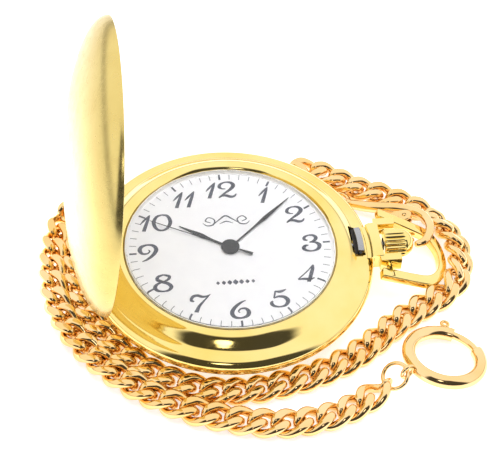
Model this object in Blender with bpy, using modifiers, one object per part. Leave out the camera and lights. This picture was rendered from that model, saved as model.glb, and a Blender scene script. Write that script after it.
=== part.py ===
"""Hunter-case quartz pocket watch, lid open, with its chain, swivel snap and spring ring.

Frame: origin at the centre of the flat rest face under the case back, +Z up,
+X to the crown (3 o'clock), +Y to 12 o'clock. All sizes below are millimetres
and are turned into metres where a shape is made.
"""
import math

import bmesh
import bpy
from mathutils import Matrix, Vector

MM = 0.001

# ---- driving dimensions (mm) -------------------------------------------------
CASE_R = 23.6            # widest radius of the case, 47.2 mm across
RIM_Z = 6.35             # height of the shelf that the lid closes on
DIAL_Z = 7.0             # top face of the dial
DIAL_R = 17.9
DIAL_T = 0.4
SIGHT_R = 17.2           # radius of the opening over the dial
BACK_JOIN_Z = 3.2        # where the snap-on back meets the case middle
REST_R = 14.5            # flat centre of the back
WALL = 0.6               # sheet thickness of lid and back

LID_R = 23.1
LID_RISE = 6.4           # height of the lid's dome
LID_PLANE_Z = 6.45       # rim plane of the closed lid
LID_OPEN_DEG = 84.5
HINGE_X, HINGE_Z = -21.8, 6.25
HINGE_HALF = 4.75        # half length of the hinge slot
KNUCKLE_R = 0.6
HINGE_PIN_R = 0.32

STEM_Z = 5.75
STEM_R = 0.42
CROWN_R = 2.37
CROWN_X0, CROWN_X1 = 25.45, 30.4
CROWN_FLUTES = 20
PENDANT_X = 24.9         # outer face of the pendant block
EAR_Y0, EAR_Y1 = 3.2, 4.6
EAR_X1 = 27.8

BOW_X, BOW_Z = 25.9, 5.3     # the bow's pins
BOW_PITCH_DEG = 23.0         # how far the bow has dropped towards the table
BOW_YAW_DEG = -6.0           # play of the bow on its pins
BOW_T = 1.5
BOW_PIN_R = 0.5

PLATE_R = 12.0               # movement main plate
PLATE_Z0, PLATE_Z1 = 4.8, 5.4
HOUR_DEG, MINUTE_DEG, SECOND_DEG = 304.0, 47.5, 298.1   # clockwise from 12

RING_POS = (32.0, -21.6, 2.3)    # spring ring, leaning on its jump ring
RING_NORMAL = (0.142, 0.159, 1.0)
RING_R = 5.87                    # centreline radius of the spring ring
RING_WIRE_R = 1.1
GAP_LOW, GAP_HIGH = 14, 62       # the ring's gap, degrees about its centre
NUB_DEG = 76                     # where the bolt's thumb nub stands
BOLT_TRAVEL_DEG = 40
LUG_DEG, LUG_AT = 207, 7.85      # the fixed eye that the jump ring hangs in
LINK_WIRE_R = 0.32
SNAP_SLOPE = 0.214               # rise of the swivel snap per mm towards the bow
GATE_PIVOT = (30.9, 8.0)
CHAIN_R = 1.25                   # radius of the plain tube that stands for the chain

COARSE = 40                      # segments round the case
FINE = 20                        # segments round small parts


# ---- looks --------------------------------------------------------------------
LOOKS = {
    "gold": ((0.92, 0.68, 0.25), 0.12, 1.0),
    "satin_gold": ((0.88, 0.72, 0.38), 0.38, 1.0),
    "chain_gold": ((0.90, 0.58, 0.22), 0.18, 1.0),
    "steel": ((0.55, 0.55, 0.56), 0.25, 1.0),
    "brass": ((0.80, 0.62, 0.32), 0.3, 1.0),
    "copper": ((0.72, 0.34, 0.18), 0.35, 1.0),
    "enamel_white": ((0.93, 0.93, 0.95), 0.35, 0.0),
    "hand_black": ((0.03, 0.03, 0.035), 0.3, 0.0),
    "glass": ((0.95, 0.97, 0.98), 0.03, 0.0),
    "rubber": ((0.04, 0.04, 0.04), 0.7, 0.0),
    "nylon": ((0.85, 0.85, 0.82), 0.45, 0.0),
    "board_green": ((0.05, 0.25, 0.12), 0.5, 0.0),
}


def clear_scene():
    for obj in list(bpy.data.objects):
        bpy.data.objects.remove(obj, do_unlink=True)
    for group in list(bpy.data.collections):
        bpy.data.collections.remove(group)


def look(name):
    material = bpy.data.materials.get(name)
    if material is None:
        colour, roughness, metallic = LOOKS[name]
        material = bpy.data.materials.new(name)
        material.use_nodes = True
        shader = material.node_tree.nodes["Principled BSDF"]
        shader.inputs["Base Color"].default_value = (*colour, 1.0)
        shader.inputs["Roughness"].default_value = roughness
        shader.inputs["Metallic"].default_value = metallic
        material.diffuse_color = (*colour, 1.0)
    return material


# ---- making and placing -------------------------------------------------------
def add(mesh, name, look_name=None, at=(0, 0, 0), turn=(0, 0, 0)):
    """Link a mesh as a part, or as a hidden cutter when it has no look."""
    obj = bpy.data.objects.new(name, mesh)
    obj.location = [v * MM for v in at]
    obj.rotation_euler = [math.radians(v) for v in turn]
    if look_name:
        PARTS.objects.link(obj)
        mesh.materials.clear()
        mesh.materials.append(look(look_name))
    else:
        CUTTERS.objects.link(obj)
        obj.hide_render = True
        obj.display_type = "WIRE"
    return obj


def turned(name, profile, look_name=None, closed=True, steps=COARSE, at=(0, 0, 0), turn=(0, 0, 0)):
    """A lathe-turned solid. profile is (radius, height), down the outer side."""
    mesh = bpy.data.meshes.new(name)
    edges = [(i, i + 1) for i in range(len(profile) - 1)]
    if closed:
        edges.append((len(profile) - 1, 0))
    mesh.from_pydata([(r * MM, 0, z * MM) for r, z in profile], edges, [])
    obj = add(mesh, name, look_name, at, turn)
    screw = obj.modifiers.new("Lathe", "SCREW")
    screw.steps = steps
    screw.render_steps = steps
    screw.use_merge_vertices = True
    screw.merge_threshold = 0.000001
    return obj


def box(name, low, high, look_name=None, at=(0, 0, 0), turn=(0, 0, 0)):
    work = bmesh.new()
    bmesh.ops.create_cube(work, size=1.0)
    size = [(b - a) * MM for a, b in zip(low, high)]
    middle = [(a + b) / 2 * MM for a, b in zip(low, high)]
    bmesh.ops.transform(work, matrix=Matrix.Translation(middle) @ Matrix.Diagonal((*size, 1)),
                        verts=work.verts)
    mesh = bpy.data.meshes.new(name)
    work.to_mesh(mesh)
    work.free()
    return add(mesh, name, look_name, at, turn)


def rod(name, radius, z0, z1, look_name=None, steps=FINE, at=(0, 0, 0), turn=(0, 0, 0)):
    """A round bar along its own Z, from z0 to z1."""
    work = bmesh.new()
    bmesh.ops.create_cone(work, cap_ends=True, segments=steps, radius1=radius * MM,
                          radius2=radius * MM, depth=(z1 - z0) * MM,
                          matrix=Matrix.Translation((0, 0, (z0 + z1) / 2 * MM)))
    mesh = bpy.data.meshes.new(name)
    work.to_mesh(mesh)
    work.free()
    return add(mesh, name, look_name, at, turn)


def curve_mesh(curve):
    """The closed mesh of a curve, with its seams welded."""
    temporary = bpy.data.objects.new(curve.name, curve)
    bpy.context.scene.collection.objects.link(temporary)
    bpy.context.view_layer.update()
    evaluated = temporary.evaluated_get(bpy.context.evaluated_depsgraph_get())
    mesh = bpy.data.meshes.new_from_object(evaluated)
    bpy.data.objects.remove(temporary, do_unlink=True)
    work = bmesh.new()
    work.from_mesh(mesh)
    bmesh.ops.remove_doubles(work, verts=work.verts, dist=0.0000005)
    bmesh.ops.recalc_face_normals(work, faces=work.faces)
    work.to_mesh(mesh)
    work.free()
    return mesh


def poly_spline(curve, points, cyclic, radii=None):
    spline = curve.splines.new("POLY")
    spline.points.add(len(points) - 1)
    for index, point in enumerate(points):
        spline.points[index].co = (*[v * MM for v in point], 1.0)
        spline.points[index].radius = radii[index] if radii else 1.0
    spline.use_cyclic_u = cyclic


def plate(name, outlines, z0, z1, look_name=None, at=(0, 0, 0), turn=(0, 0, 0)):
    """A flat plate cut to closed outlines of (x, y); inner outlines are holes."""
    curve = bpy.data.curves.new(name, "CURVE")
    curve.dimensions = "2D"
    curve.fill_mode = "BOTH"
    curve.extrude = (z1 - z0) / 2 * MM
    for outline in outlines:
        poly_spline(curve, [(x, y, 0) for x, y in outline], True)
    mesh = curve_mesh(curve)
    mesh.transform(Matrix.Translation((0, 0, (z0 + z1) / 2 * MM)))
    return add(mesh, name, look_name, at, turn)


def tube(name, points, radius, look_name=None, cyclic=False, radii=None, at=(0, 0, 0), roundness=2):
    curve = bpy.data.curves.new(name, "CURVE")
    curve.dimensions = "3D"
    curve.bevel_depth = radius * MM
    curve.bevel_resolution = roundness
    curve.use_fill_caps = not cyclic
    poly_spline(curve, points, cyclic, radii)
    return add(curve_mesh(curve), name, look_name, at)


def baked(obj):
    """The finished mesh of an object; the object itself goes."""
    bpy.context.view_layer.update()
    mesh = bpy.data.meshes.new_from_object(obj.evaluated_get(bpy.context.evaluated_depsgraph_get()))
    bpy.data.objects.remove(obj, do_unlink=True)
    return mesh


def along_y(obj):
    """Turn a rod's own Z on to its Y."""
    obj.data.transform(Matrix.Rotation(math.radians(-90), 4, "X"))
    return obj


def combine(obj, tool, operation):
    boolean = obj.modifiers.new(tool.name, "BOOLEAN")
    boolean.operation = operation
    boolean.solver = "EXACT"
    boolean.object = tool


def cut(obj, *tools):
    for tool in tools:
        combine(obj, tool, "DIFFERENCE")


def fuse(obj, *tools):
    for tool in tools:
        combine(obj, tool, "UNION")


def arc(radius, start, end, count, centre=(0, 0)):
    """Points of an arc, angles in degrees from +X."""
    angles = [math.radians(start + (end - start) * i / (count - 1)) for i in range(count)]
    return [(centre[0] + radius * math.cos(a), centre[1] + radius * math.sin(a)) for a in angles]


def circle(radius, count=FINE, centre=(0, 0)):
    return arc(radius, 0, 360 * (count - 1) / count, count, centre)


def sector(inner, outer, start, end, count=9):
    return arc(outer, start, end, count) + arc(inner, end, start, count)


def toothed(teeth, tip, root):
    outline = []
    for tooth in range(teeth):
        step = 360 / teeth
        outline += arc(tip, tooth * step, tooth * step, 2)[:1]
        outline += arc(root, (tooth + 0.5) * step, (tooth + 0.5) * step, 2)[:1]
    return outline


# ---- case ---------------------------------------------------------------------
def make_case_middle():
    outer = [(SIGHT_R + 0.4, 7.95), (18.2, 8.2), (18.8, 8.12), (19.4, 7.8), (20.2, 7.15),
             (21.0, 6.6), (21.7, 6.4), (22.6, RIM_Z), (23.2, 6.42), (23.5, 6.32),
             (CASE_R, 6.05), (CASE_R, 5.5), (23.5, 4.8), (23.3, 4.0), (22.95, BACK_JOIN_Z)]
    inner = [(20.7, BACK_JOIN_Z), (20.7, 4.4), (19.5, 4.4), (19.5, 6.2), (18.1, 6.2),
             (18.1, DIAL_Z + 0.03), (SIGHT_R, DIAL_Z + 0.03), (SIGHT_R, 7.55)]
    case = turned("case_middle", outer + inner, "gold")
    # hinge: the lid's rim swings down past this notch when it opens
    cut(case, box("hinge_notch", (-25, -8.9, 4.75), (HINGE_X - 0.1, 8.9, 9)),
        box("hinge_pocket", (-25, -HINGE_HALF, 5.5), (HINGE_X + 0.72, HINGE_HALF, 9)))
    fuse(case, box("knuckle_foot", (HINGE_X - 0.35, -1.35, 4.5), (HINGE_X + 0.35, 1.35, HINGE_Z)),
         rod("case_knuckle", KNUCKLE_R, -1.45, 1.45, steps=16, at=(HINGE_X, 0, HINGE_Z), turn=(-90, 0, 0)))
    cut(case, rod("hinge_bore", HINGE_PIN_R + 0.06, -2, 2, steps=12, at=(HINGE_X, 0, HINGE_Z),
                  turn=(-90, 0, 0)),
        plate("catch_pocket", [sector(20.6, 22.2, -8, 66)], 4.5, 5.6),
        plate("lift_spring_pocket", [sector(20.95, 22.0, 112, 162)], 3.0, 5.2),
        box("catch_slot", (19.9, -2.8, 4.5), (22.45, 3.9, 9)),
        rod("stem_bore", 0.5, 17, 25, steps=16, at=(0, 0, STEM_Z), turn=(0, 90, 0)))


def make_case_back():
    inner = [(0, 0.7), (14.4, 0.7), (16.2, 0.82), (18.2, 1.3), (19.3, 1.85), (19.95, 2.5), (19.95, 3.85)]
    outer = [(20.6, 3.85), (20.6, 3.1), (22.85, 3.1), (22.4, 2.65), (21.7, 2.0), (20.9, 1.4),
             (19.6, 0.8), (18.0, 0.35), (16.2, 0.08), (REST_R, 0), (0, 0)]
    turned("case_back", inner + outer, "gold", closed=False)
    turned("back_gasket", [(20.55, 4.3), (20.62, 4.1), (20.55, 3.92), (20.05, 3.92), (19.98, 4.1),
                           (20.05, 4.3)], "rubber")


def make_crystal():
    turned("crystal", [(0, 7.95), (16.6, 7.95), (17.0, 7.8), (17.0, 7.47), (0, 7.47)], "glass",
           closed=False)
    turned("crystal_gasket", [(17.17, 7.72), (17.17, 7.4), (17.03, 7.4), (17.03, 7.72)], "nylon")


def make_pendant():
    pendant = box("pendant", (22.6, -3.6, 4.2), (PENDANT_X, 3.6, 7.15), "gold")
    for side, y0, y1 in (("front", -EAR_Y1, -EAR_Y0), ("rear", EAR_Y0, EAR_Y1)):
        fuse(pendant, box("ear_" + side, (24.3, y0, 4.5), (EAR_X1, y1, 7.05)))
    cut(pendant, rod("case_seat", CASE_R + 0.06, 3, 6.46, steps=2 * COARSE),
        rod("rim_seat", 23.25, 6.4, 9, steps=2 * COARSE),
        rod("stem_tube_bore", 0.62, 22, 26, steps=16, at=(0, 0, STEM_Z), turn=(0, 90, 0)),
        rod("pin_bore_front", BOW_PIN_R + 0.06, -6, -3.5, steps=16, at=(BOW_X, 0, BOW_Z), turn=(-90, 0, 0)),
        rod("pin_bore_rear", BOW_PIN_R + 0.06, 3.5, 6, steps=16, at=(BOW_X, 0, BOW_Z), turn=(-90, 0, 0)))
    turned("pendant_tube", [(0.58, 24.75), (0.58, 23.75), (0.48, 23.75), (0.48, 24.75)], "brass",
           steps=16, at=(0, 0, STEM_Z), turn=(0, 90, 0))


def bow_outline():
    """Half outlines along the bow (u) and across it (v), mirrored."""
    outer = [(-1.2, 7.4), (4.0, 6.8), (7.6, 6.25), (9.0, 5.6), (10.2, 4.2), (11.0, 2.3), (11.35, 0)]
    inner = [(-1.2, 5.6), (4.0, 4.95), (6.8, 4.45), (8.2, 3.75), (9.2, 2.6), (9.75, 1.3), (9.9, 0)]
    outline = [(u, -v) for u, v in outer] + [(u, v) for u, v in reversed(outer[:-1])]
    return outline + [(u, v) for u, v in inner] + [(u, -v) for u, v in reversed(inner[:-1])]


def make_bow():
    bow = plate("bow", [bow_outline()], -BOW_T / 2, BOW_T / 2, "gold", at=(BOW_X, 0, BOW_Z),
                turn=(0, BOW_PITCH_DEG, BOW_YAW_DEG))
    for side, low, high in (("front", -6.95, -5.0), ("rear", 5.0, 6.95)):
        cut(bow, rod("bow_hole_" + side, BOW_PIN_R + 0.06, low, high, steps=16,
                     at=(BOW_X, 0, BOW_Z), turn=(-90, 0, 0)))
        pin_low, pin_high = (-6.85, -3.6) if side == "front" else (3.6, 6.85)
        rod("bow_pin_" + side, BOW_PIN_R, pin_low, pin_high, "steel", steps=12,
            at=(BOW_X, 0, BOW_Z), turn=(-90, 0, 0))


def dome(radius, rise, count):
    """Points of a half ellipse from the axis down to the rim plane."""
    steps = [math.radians(90 * i / count) for i in range(count + 1)]
    return [(radius * math.sin(a), LID_PLANE_Z + rise * math.cos(a)) for a in steps]


def make_lid():
    """The lid is shaped closed about its hinge axis, then turned open."""
    shell = turned("lid_shell", dome(LID_R, LID_RISE, 7) + dome(LID_R - WALL, LID_RISE - WALL, 7)[::-1],
                   closed=False)
    mesh = baked(shell)
    mesh.transform(Matrix.Translation((-HINGE_X * MM, 0, -HINGE_Z * MM)))
    pivot = (HINGE_X, 0, HINGE_Z)
    opened = (0, -LID_OPEN_DEG, 0)
    lid = add(mesh, "lid", "satin_gold", pivot, opened)
    cut(lid, box("lid_slot", (-3, -HINGE_HALF - 0.1, -1), (1.2, HINGE_HALF + 0.1, 1.2), at=pivot, turn=opened))
    for side, y0, y1 in (("front", -4.4, -1.6), ("rear", 1.6, 4.4)):
        fuse(lid, box("lid_web_" + side, (-0.3, y0 + 0.1, 0), (0.3, y1 - 0.1, 1.7), at=pivot, turn=opened),
             along_y(rod("lid_knuckle_" + side, KNUCKLE_R, y0, y1, steps=16, at=pivot, turn=opened)))
    fuse(lid, box("lid_lip", (21.72 - HINGE_X, -1.6, 0.3), (22.75 - HINGE_X, 1.6, 0.6), at=pivot, turn=opened))
    cut(lid, along_y(rod("lid_bore", HINGE_PIN_R + 0.06, -5, 5, steps=12, at=pivot, turn=opened)))


def make_hinge_and_springs():
    rod("lid_hinge_pin", HINGE_PIN_R, -4.5, 4.5, "steel", steps=12,
        at=(HINGE_X, 0, HINGE_Z), turn=(-90, 0, 0))
    plate("lid_lift_spring", [sector(21.25, 21.6, 116, 160)], 3.5, 5.0, "steel")
    catch = box("catch_spring", (21.0, -2.3, 4.6), (21.6, 2.3, 7.0), "steel")
    fuse(catch, box("catch_beak", (21.2, -2.2, 6.95), (21.98, 2.2, 7.2)),
         plate("catch_leaf", [sector(21.3, 21.55, 5, 62)], 4.65, 5.3))
    cut(catch, rod("catch_hole", 0.55, 20, 23, steps=16, at=(0, 0, STEM_Z), turn=(0, 90, 0)))


# ---- crown and stem -----------------------------------------------------------
def make_crown():
    length = CROWN_X1 - CROWN_X0
    outline = []
    for flute in range(CROWN_FLUTES):
        step = 360 / CROWN_FLUTES
        outline += arc(CROWN_R, flute * step, (flute + 0.55) * step, 2)
        outline += arc(CROWN_R - 0.14, (flute + 0.65) * step, (flute + 0.9) * step, 2)
    crown = plate("crown", [outline], 0, length - 1.45, "gold", at=(CROWN_X0, 0, STEM_Z), turn=(0, 90, 0))
    cap = turned("crown_cap", [(0, length), (1.3, length), (2.22, length - 1.2), (2.22, length - 1.8),
                               (0, length - 1.8)], closed=False, steps=FINE,
                 at=(CROWN_X0, 0, STEM_Z), turn=(0, 90, 0))
    fuse(crown, cap)
    cut(crown, rod("crown_bore", STEM_R + 0.05, -1, 2.65, steps=16, at=(CROWN_X0, 0, STEM_Z),
                   turn=(0, 90, 0)),
        rod("gasket_seat", 1.06, -1, 0.4, steps=16, at=(CROWN_X0, 0, STEM_Z), turn=(0, 90, 0)))
    turned("crown_gasket", [(1.0, 25.82), (1.0, 25.5), (0.5, 25.5), (0.5, 25.82)], "rubber", steps=16,
           at=(0, 0, STEM_Z), turn=(0, 90, 0))
    turned("stem", [(0, 27.6), (STEM_R, 27.6), (STEM_R, 12.2), (0.26, 12.2), (0.26, 9.6), (0, 9.6)],
           "steel", closed=False, steps=12, at=(0, 0, STEM_Z), turn=(0, 90, 0))
    turned("push_sleeve", [(0.72, 17.6), (0.72, 15.2), (0.48, 15.2), (0.48, 17.6)], "steel", steps=16,
           at=(0, 0, STEM_Z), turn=(0, 90, 0))
    turned("detent_collar", [(0.72, 14.0), (0.72, 13.0), (0.48, 13.0), (0.48, 14.0)], "steel", steps=16,
           at=(0, 0, STEM_Z), turn=(0, 90, 0))
    plate("sliding_pinion", [toothed(10, 0.56, 0.42), circle(0.31, 12)], 10.4, 11.6, "steel",
          at=(0, 0, STEM_Z), turn=(0, 90, 0))


# ---- dial and hands -------------------------------------------------------------
def hand_outline(hub, blade, tail):
    """blade and tail are (distance, half width) along +Y and -Y from the hub."""
    right = [(w, d) for d, w in blade]
    left = [(-w, d) for d, w in reversed(blade)]
    start = math.degrees(math.asin(blade[0][1] / hub))
    outline = right + left
    if tail:
        end = math.degrees(math.asin(tail[0][1] / hub))
        outline += arc(hub, 90 + start + 4, 270 - end - 4, 7)
        outline += [(-w, -d) for d, w in tail] + [(w, -d) for d, w in reversed(tail)]
        outline += arc(hub, -90 + end + 4, 90 - start - 4, 7)
    else:
        outline += arc(hub, 90 + start + 4, 450 - start - 4, 17)
    return outline


def make_dial_and_hands():
    plate("dial", [circle(DIAL_R, COARSE), circle(0.85, 16)], DIAL_Z - DIAL_T, DIAL_Z, "enamel_white")
    hour = [(1.38, 0.28), (4.0, 0.3), (4.8, 0.52), (7.4, 0.34), (9.3, 0.1), (9.5, 0.03)]
    minute = [(1.0, 0.18), (6.0, 0.2), (8.2, 0.42), (11.5, 0.3), (14.5, 0.09), (14.9, 0.03)]
    second = [(0.78, 0.09), (13.8, 0.06), (13.9, 0.03)]
    tail = [(0.76, 0.12), (2.4, 0.2), (3.9, 0.26)]
    for name, hub, blade, back, hole, z0, z1, angle in (
            ("hour_hand", 1.42, hour, [], 0.74, 7.08, 7.17, HOUR_DEG),
            ("minute_hand", 1.05, minute, [], 0.43, 7.22, 7.3, MINUTE_DEG),
            ("second_hand", 0.8, second, tail, 0.18, 7.35, 7.41, SECOND_DEG)):
        plate(name, [hand_outline(hub, blade, back), circle(hole, 12)], z0, z1, "hand_black",
              turn=(0, 0, -angle))


# ---- movement -------------------------------------------------------------------
def wheel(name, look_name, place, arbor, gears, bore=0.0):
    """One arbor (radius, z0, z1) with its toothed discs (teeth, tip, z0, z1)."""
    radius, z0, z1 = arbor
    at = (*place, 0)
    teeth, tip, low, high = gears[0]
    wheel_obj = plate(name, [toothed(teeth, tip, tip - 0.14)], low, high, look_name, at=at)
    fuse(wheel_obj, rod(name + "_arbor", radius, z0, z1, steps=12, at=at))
    for index, (teeth, tip, low, high) in enumerate(gears[1:]):
        fuse(wheel_obj, plate(name + "_pinion_%d" % index, [toothed(teeth, tip, tip - 0.12)], low, high, at=at))
    if bore:
        cut(wheel_obj, rod(name + "_bore", bore, z0 - 1, z1 + 1, steps=12, at=at))
    return wheel_obj


def make_train():
    """Rotor to second wheel 30:1, on to the centre wheel 60:1, then 12:1 to the hour wheel."""
    middle = (0, 0)
    between = (2.70, 2.27)
    rotor = (5.50, 3.29)
    third = (-3.10, -1.13)
    motion = (1.13, -1.96)
    wheel("second_wheel", "brass", middle, (0.15, 2.75, 7.44), [(30, 2.9, 3.9, 4.1), (6, 0.45, 3.0, 3.3)])
    wheel("intermediate_wheel", "brass", between, (0.15, 2.75, 4.7),
          [(36, 2.4, 3.45, 3.65), (6, 0.5, 3.85, 4.15)])
    wheel("rotor", "steel", rotor, (0.15, 2.75, 4.7), [(12, 0.85, 3.85, 4.4), (6, 0.45, 3.35, 3.7)])
    wheel("third_wheel", "brass", third, (0.15, 2.75, 4.7), [(45, 2.75, 3.05, 3.25), (6, 0.45, 4.28, 4.6)])
    wheel("centre_wheel", "brass", middle, (0.4, 4.3, 7.34), [(48, 2.75, 4.35, 4.55), (8, 0.56, 5.5, 5.75)],
          bore=0.21)
    wheel("minute_wheel", "brass", motion, (0.15, 5.45, 6.35), [(24, 1.6, 5.52, 5.72), (8, 0.5, 5.85, 6.15)])
    wheel("hour_wheel", "brass", middle, (0.7, 5.9, 7.19), [(32, 1.7, 5.92, 6.12)], bore=0.46)


def make_movement():
    ring = turned("movement_ring", [(19.35, 6.1), (19.35, 1.95), (18.6, 1.95), (18.6, 3.4), (PLATE_R + 0.35, 3.4),
                                    (PLATE_R + 0.35, 6.5), (17.9, 6.5), (17.9, 6.1)], "nylon")
    cut(ring, box("stem_slot", (11, -0.85, 4.6), (21, 0.85, 7)))
    main = turned("main_plate", [(PLATE_R, PLATE_Z1), (PLATE_R, PLATE_Z0), (0.65, PLATE_Z0), (0.65, PLATE_Z1)],
                  "brass")
    cut(main, box("stem_way", (9.0, -0.8, PLATE_Z0 - 1), (13, 0.8, PLATE_Z1 + 1)))
    bridge = turned("train_bridge", [(7.4, 2.65), (7.4, 2.4), (0.9, 2.4), (0.9, 2.65)], "steel")
    battery_at = (-4.1, -7.7, 0)
    cut(bridge, rod("battery_way", 3.6, 2, 3, at=battery_at))
    turned("battery", [(0, 4.65), (2.9, 4.65), (2.9, 4.4), (3.3, 4.3), (3.4, 4.1), (3.4, 2.1), (0, 2.1)],
           "steel", closed=False, steps=FINE, at=battery_at)
    clamp = box("battery_clamp", (-8.2, -9.0, 1.8), (-0.4, -7.0, 2.0), "steel")
    fuse(clamp, box("clamp_leg", (-8.1, -8.8, 1.9), (-7.8, -7.2, 4.7)))
    coil = rod("coil", 1.05, -3.4, 3.4, "copper", steps=16, at=(-1.5, 9.2, 3.5), turn=(0, 90, 0))
    for side, x in (("inner", -3.7), ("outer", 3.4)):
        fuse(coil, rod("coil_flange_" + side, 1.25, x, x + 0.3, steps=16, at=(-1.5, 9.2, 3.5), turn=(0, 90, 0)))
    plate("stator", [[(3.6, 5.0), (4.6, 1.9), (6.6, 1.7), (7.3, 4.0), (5.6, 9.9), (3.2, 10.0)],
                              circle(1.05, 16, (5.50, 3.29))], 4.42, 4.66, "steel")
    plate("circuit_board", [[(-9.6, 3.2), (-6.2, 3.2), (-6.2, 6.9), (1.8, 6.9), (1.8, 7.7), (-9.0, 7.7),
                             (-10.4, 5.5)]], 2.8, 3.1, "board_green")
    rod("quartz_can", 0.75, -2.4, 2.4, "steel", steps=16, at=(-8.2, 0.2, 3.9), turn=(90, 0, 0))
    for name, x, y in (("north", -4.2, 5.4), ("east", 6.5, -1.5), ("south", 3.6, -6.0)):
        rod("bridge_screw_" + name, 0.5, 2.1, 2.35, "steel", steps=12, at=(x, y, 0))


# ---- chain, snap and spring ring --------------------------------------------------
CHAIN_ROUTE = [
    (17.1, 16.8), (15.2, 18.7), (14.1, 20.6), (15.6, 21.9), (19.4, 20.3), (24.9, 16.5), (30.6, 13.4),
    (35.8, 9.1), (38.6, 4.0), (38.8, -1.6), (36.2, -6.6), (31.3, -9.9), (25.75, -13.45), (20.3, -17.8),
    (14.4, -21.3), (7.7, -23.5), (0.4, -24.7), (-6.7, -24.0), (-13.4, -20.7), (-18.8, -15.8),
    (-22.4, -10.1), (-24.4, -3.9), (-25.0, 2.6), (-24.2, 8.2), (-22.9, 12.2), (-24.1, 14.8),
    (-26.5, 13.2), (-28.2, 8.2), (-29.0, 1.6), (-28.4, -4.6), (-26.2, -11.1), (-22.4, -17.1),
    (-17.2, -22.4), (-11.0, -26.7), (-3.6, -29.8), (4.6, -31.5), (12.1, -30.8), (17.0, -28.9),
    (20.2, -26.9)]


def smooth_line(points, per):
    """A Catmull-Rom curve through points, with per steps to each span."""
    points = [Vector(p) for p in points]
    line = []
    for i in range(len(points) - 1):
        b, c = points[i], points[i + 1]
        a = points[i - 1] if i else b * 2 - c
        d = points[i + 2] if i + 2 < len(points) else c * 2 - b
        for step in range(per):
            t = step / per
            line.append((b * 2 + (c - a) * t + (a * 2 - b * 5 + c * 4 - d) * t * t
                         + (b * 3 - a - c * 3 + d) * t ** 3) / 2)
    return line + [points[-1]]


def ring_arc(radius, start, end, count):
    return [(x, y, 0) for x, y in arc(radius, start, end, count)]


def ring_wire(name, radius, wire, look_name=None):
    """A round wire ring in its own XY plane."""
    return tube(name, [(x, y, 0) for x, y in circle(radius, 16)], wire, look_name, cyclic=True)


def facing(centre, normal):
    """Matrix that lays an object's XY plane square to normal, its X in the world's XZ plane."""
    normal = Vector(normal).normalized()
    across = Vector((0, 1, 0)).cross(normal).normalized()
    turn = Matrix((across, normal.cross(across), normal)).transposed().to_4x4()
    return Matrix.Translation(Vector(centre) * MM) @ turn


def make_spring_ring():
    """The ring's gap is bridged by its sprung bolt, drawn back by a thumb nub."""
    body = tube("spring_ring_body", ring_arc(RING_R, GAP_HIGH, GAP_LOW + 360, 25), RING_WIRE_R, "chain_gold")
    bore = tube("bolt_bore", ring_arc(RING_R, GAP_HIGH - 8, 186, 12), 0.74)
    socket = tube("bolt_socket", ring_arc(RING_R, 4, GAP_LOW + 8, 4), 0.74)
    slot_end = NUB_DEG + BOLT_TRAVEL_DEG + 6
    slot = plate("nub_slot", [sector(RING_R + 0.2, RING_R + 1.6, NUB_DEG - 6, slot_end, 7)],
                 -0.3, 0.3)
    lug = ring_wire("ring_lug", 1.1, LINK_WIRE_R)
    lug.data.transform(Matrix.Rotation(math.radians(LUG_DEG), 4, "Z") @ Matrix.Translation((LUG_AT * MM, 0, 0))
                       @ Matrix.Rotation(math.radians(90), 4, "X"))
    cut(body, bore, socket, slot)
    fuse(body, lug)
    bolt = tube("spring_ring_bolt", ring_arc(RING_R, GAP_LOW - 7, 132, 13), 0.62, "chain_gold")
    stalk = rod("nub_stalk", 0.22, 0.3, 1.75, steps=8)
    nub = ring_wire("nub_ring", 0.57, 0.28)
    spin = Matrix.Rotation(math.radians(NUB_DEG), 4, "Z")
    outward = Matrix.Rotation(math.radians(90), 4, "Y")
    stalk.data.transform(spin @ Matrix.Translation((RING_R * MM, 0, 0)) @ outward)
    nub.data.transform(spin @ Matrix.Translation(((RING_R + 2.3) * MM, 0, 0)))
    fuse(bolt, stalk, nub)
    helix = []
    for step in range(31):
        along = math.radians(135 + 48 * step / 30)
        turn = math.radians(72 * step)
        reach = RING_R + 0.45 * math.cos(turn)
        helix.append((reach * math.cos(along), reach * math.sin(along), 0.45 * math.sin(turn)))
    spring = tube("spring_ring_spring", helix, 0.11, "steel", roundness=0)
    for obj in (body, bore, socket, slot, lug, bolt, stalk, nub, spring):
        obj.matrix_world = facing(RING_POS, RING_NORMAL)


def make_jump_rings():
    """A large link leans in the spring ring's lug and a small one joins it to the chain."""
    large = ring_wire("jump_ring_large", 2.1, 0.34, "chain_gold")
    large.matrix_world = facing((23.3, -25.05, 2.9), (-0.512, -0.26, 0.817))
    small = ring_wire("jump_ring_small", 1.15, LINK_WIRE_R, "chain_gold")
    small.matrix_world = facing((21.75, -25.78, 1.6), (0.57, -0.82, 0))


def snap_height(x):
    """The snap slopes up from the table to the bow it hangs on."""
    return 3.7 - SNAP_SLOPE * (34.3 - x)


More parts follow.
